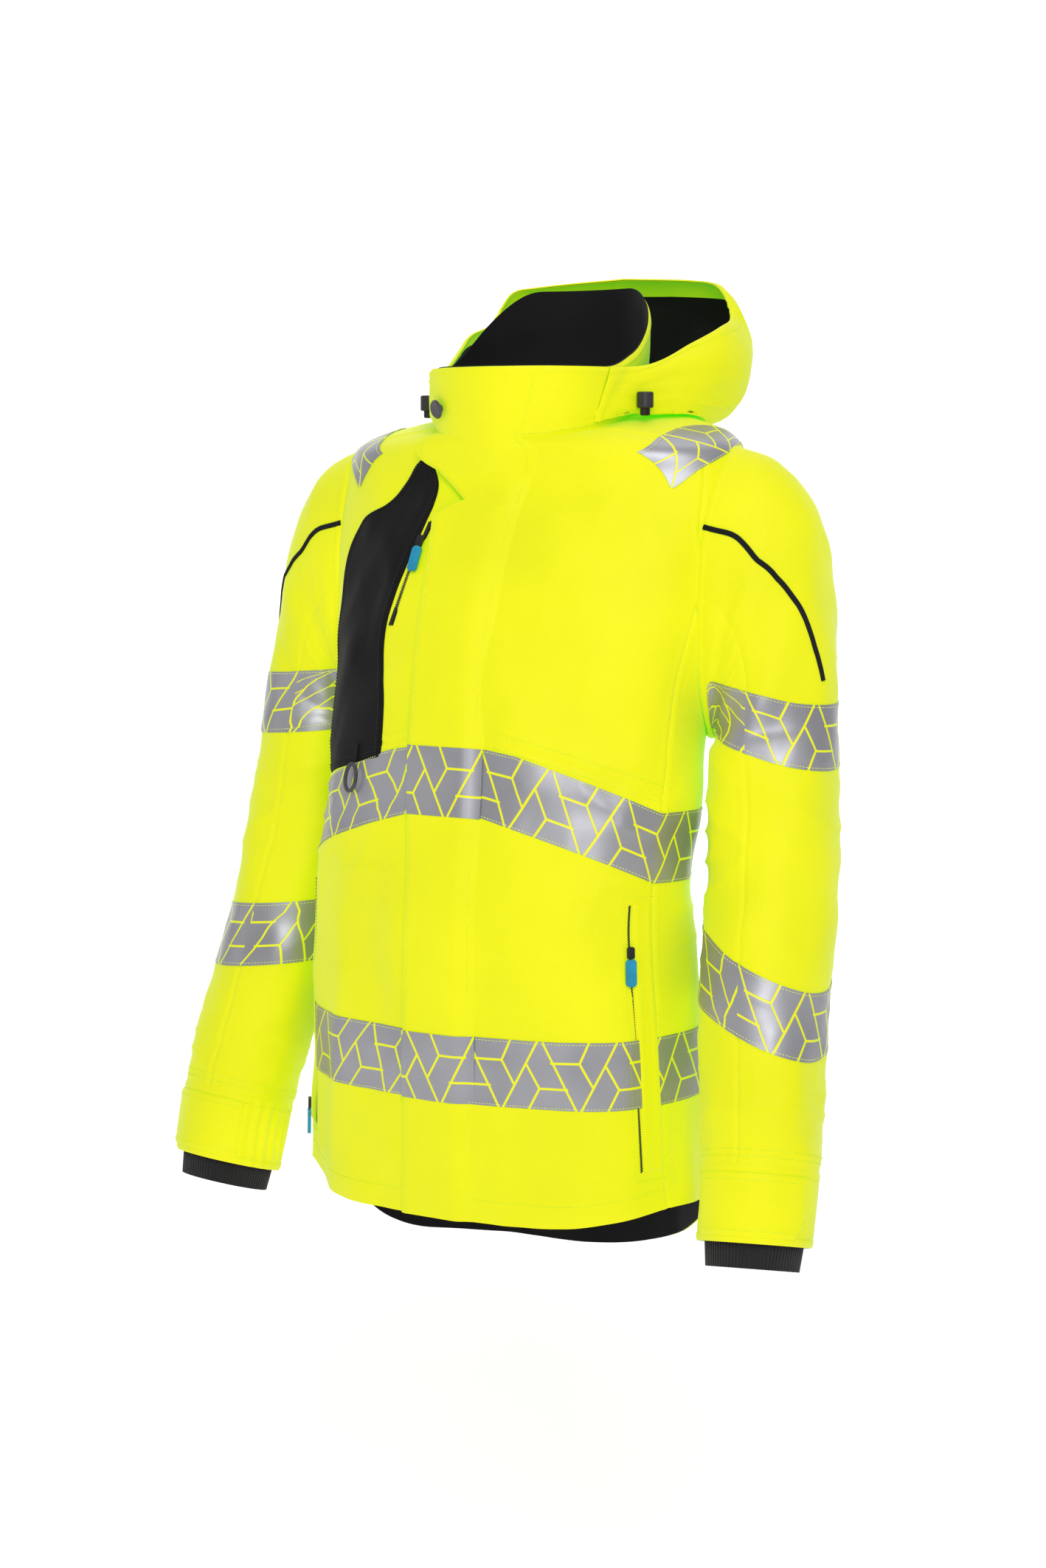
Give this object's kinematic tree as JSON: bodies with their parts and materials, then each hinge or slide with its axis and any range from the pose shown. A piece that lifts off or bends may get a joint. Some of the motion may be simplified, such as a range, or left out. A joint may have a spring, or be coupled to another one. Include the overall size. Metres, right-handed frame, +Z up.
{
  "type": "hooded high-visibility work jacket",
  "caption": "Waterproof fluorescent yellow work jacket with reflective bands, stand collar, folded hood, storm flap, zipped pockets and adjustable cuffs, held in its worn shape.",
  "frame": {"origin": "middle of the neck seam, at the height of the seam on the shoulders", "axes": "+Z up along the body, -Y out of the front, +X towards the wearer's left arm"},
  "size_m": [0.692, 0.4155, 0.963],
  "materials": {
    "yellow_shell_fabric": "matt fluorescent yellow woven polyester, coated inside",
    "black_lining": "matt black lining and facing cloth",
    "moulded_plastic": "satin dark grey moulded plastic",
    "snap_metal": "nickel-plated press stud",
    "zip_chain": "black moulded zip chain on woven tape",
    "zip_slider_metal": "black-coated cast zip slider",
    "black_shell_fabric": "matt black woven polyester overlay",
    "zip_puller_plastic": "blue-green moulded grip",
    "cuff_knit": "black rib knit"
  },
  "bodies": {
    "jacket": {"left_front_lower": "yellow_shell_fabric", "right_front_lower": "yellow_shell_fabric", "left_front_upper": "yellow_shell_fabric", "right_front_upper": "yellow_shell_fabric", "left_side_panel": "yellow_shell_fabric", "right_side_panel": "yellow_shell_fabric", "left_shoulder_panel": "yellow_shell_fabric", "right_shoulder_panel": "yellow_shell_fabric", "back_panel": "yellow_shell_fabric", "back_yoke": "yellow_shell_fabric", "hem_facing": "black_lining", "collar_shell": "yellow_shell_fabric", "collar_lining": "black_lining", "hanger_loop": "black_lining", "snap_stud": "snap_metal", "main_zip": "zip_chain", "collar_zip": "zip_chain", "chest_pocket_overlay": "black_shell_fabric", "chest_zip": "zip_chain", "left_pocket_welt": "yellow_shell_fabric", "right_pocket_welt": "yellow_shell_fabric", "left_pocket_zip": "zip_chain", "right_pocket_zip": "zip_chain", "ring_tab": "black_lining", "left_upper_sleeve_outer": "yellow_shell_fabric", "right_upper_sleeve_outer": "yellow_shell_fabric", "left_upper_sleeve_inner": "yellow_shell_fabric", "right_upper_sleeve_inner": "yellow_shell_fabric", "hood_base": "yellow_shell_fabric", "left_hood_side": "yellow_shell_fabric", "right_hood_side": "yellow_shell_fabric", "left_cord_lock": "moulded_plastic", "right_cord_lock": "moulded_plastic"},
    "storm_flap": {"storm_flap": "yellow_shell_fabric", "snap_cap": "moulded_plastic"},
    "hood": {"hood_crown": "yellow_shell_fabric", "left_hood_wing": "yellow_shell_fabric", "right_hood_wing": "yellow_shell_fabric"},
    "chest_slider": {"chest_slider": "zip_slider_metal"},
    "chest_puller": {"chest_puller": "zip_puller_plastic"},
    "left_pocket_slider": {"left_pocket_slider": "zip_slider_metal"},
    "left_pocket_puller": {"left_pocket_puller": "zip_puller_plastic"},
    "right_pocket_slider": {"right_pocket_slider": "zip_slider_metal"},
    "right_pocket_puller": {"right_pocket_puller": "zip_puller_plastic"},
    "main_slider": {"main_slider": "zip_slider_metal", "main_puller": "zip_slider_metal"},
    "tool_ring": {"tool_ring": "moulded_plastic"},
    "left_cord_lock_plunger": {"left_cord_lock_plunger": "moulded_plastic"},
    "right_cord_lock_plunger": {"right_cord_lock_plunger": "moulded_plastic"},
    "left_forearm": {"left_lower_sleeve_outer": "yellow_shell_fabric", "left_lower_sleeve_inner": "yellow_shell_fabric", "left_cuff": "yellow_shell_fabric", "left_knit_cuff": "cuff_knit"},
    "left_cuff_tab": {"left_cuff_tab": "yellow_shell_fabric"},
    "right_forearm": {"right_lower_sleeve_outer": "yellow_shell_fabric", "right_lower_sleeve_inner": "yellow_shell_fabric", "right_cuff": "yellow_shell_fabric", "right_knit_cuff": "cuff_knit"},
    "right_cuff_tab": {"right_cuff_tab": "yellow_shell_fabric"}
  },
  "joints": [
    {"name": "storm_flap_hinge", "type": "hinge", "parent": "jacket", "child": "storm_flap", "pos_m": [0.046, -0.164, -0.45], "axis": [0, 0.1532, 0.9882], "range_deg": [0, 120]},
    {"name": "hood_fold", "type": "hinge", "parent": "jacket", "child": "hood", "pos_m": [0, -0.014, 0.027], "axis": [1, 0, 0], "range_deg": [0, 60]},
    {"name": "chest_slide", "type": "slide", "parent": "jacket", "child": "chest_slider", "axis": [-0.2333, -0.3089, -0.9221], "range_m": [0, 0.064]},
    {"name": "chest_puller_swing", "type": "hinge", "parent": "chest_slider", "child": "chest_puller", "pos_m": [-0.0694, -0.07476, -0.11929], "axis": [-0.9932, 0.1168, 0], "range_deg": [0, 150]},
    {"name": "left_pocket_slide", "type": "slide", "parent": "jacket", "child": "left_pocket_slider", "axis": [-0.0508, -0.0062, 0.9987], "range_m": [-0.195, 0.033]},
    {"name": "left_pocket_puller_swing", "type": "hinge", "parent": "left_pocket_slider", "child": "left_pocket_puller", "pos_m": [0.17498, -0.10035, -0.48973], "axis": [-0.6122, -0.7907, 0], "range_deg": [0, 150]},
    {"name": "right_pocket_slide", "type": "slide", "parent": "jacket", "child": "right_pocket_slider", "axis": [0.0508, -0.0062, 0.9987], "range_m": [0, 0.213]},
    {"name": "right_pocket_puller_swing", "type": "hinge", "parent": "right_pocket_slider", "child": "right_pocket_puller", "pos_m": [-0.1849, -0.09791, -0.67286], "axis": [-0.6117, 0.7911, 0], "range_deg": [0, 150]},
    {"name": "main_zip_slide", "type": "slide", "parent": "jacket", "child": "main_slider", "axis": [0, 0.2185, -0.9758], "range_m": [0, 0.04]},
    {"name": "tool_ring_swing", "type": "hinge", "parent": "jacket", "child": "tool_ring", "pos_m": [-0.11494, -0.11936, -0.32506], "axis": [-0.9242, 0.3819, 0], "range_deg": [0, 90]},
    {"name": "left_elbow", "type": "hinge", "parent": "jacket", "child": "left_forearm", "pos_m": [0.25875, -0.04134, -0.39356], "axis": [-1, 0, 0], "range_deg": [0, 90]},
    {"name": "left_cuff_tab_hinge", "type": "hinge", "parent": "left_forearm", "child": "left_cuff_tab", "pos_m": [0.25331, -0.11734, -0.70044], "axis": [0.0598, -0.2244, -0.9727], "range_deg": [0, 120]},
    {"name": "left_cord_lock_press", "type": "slide", "parent": "jacket", "child": "left_cord_lock_plunger", "axis": [0, 0, 1], "range_m": [0, 0.004], "stiffness_N_per_m": 800},
    {"name": "right_elbow", "type": "hinge", "parent": "jacket", "child": "right_forearm", "pos_m": [-0.25875, -0.04134, -0.39356], "axis": [-1, 0, 0], "range_deg": [0, 90]},
    {"name": "right_cuff_tab_hinge", "type": "hinge", "parent": "right_forearm", "child": "right_cuff_tab", "pos_m": [-0.25331, -0.11734, -0.70044], "axis": [0.0598, 0.2244, 0.9727], "range_deg": [0, 120]},
    {"name": "right_cord_lock_press", "type": "slide", "parent": "jacket", "child": "right_cord_lock_plunger", "axis": [0, 0, 1], "range_m": [0, 0.004], "stiffness_N_per_m": 800}
  ]
}
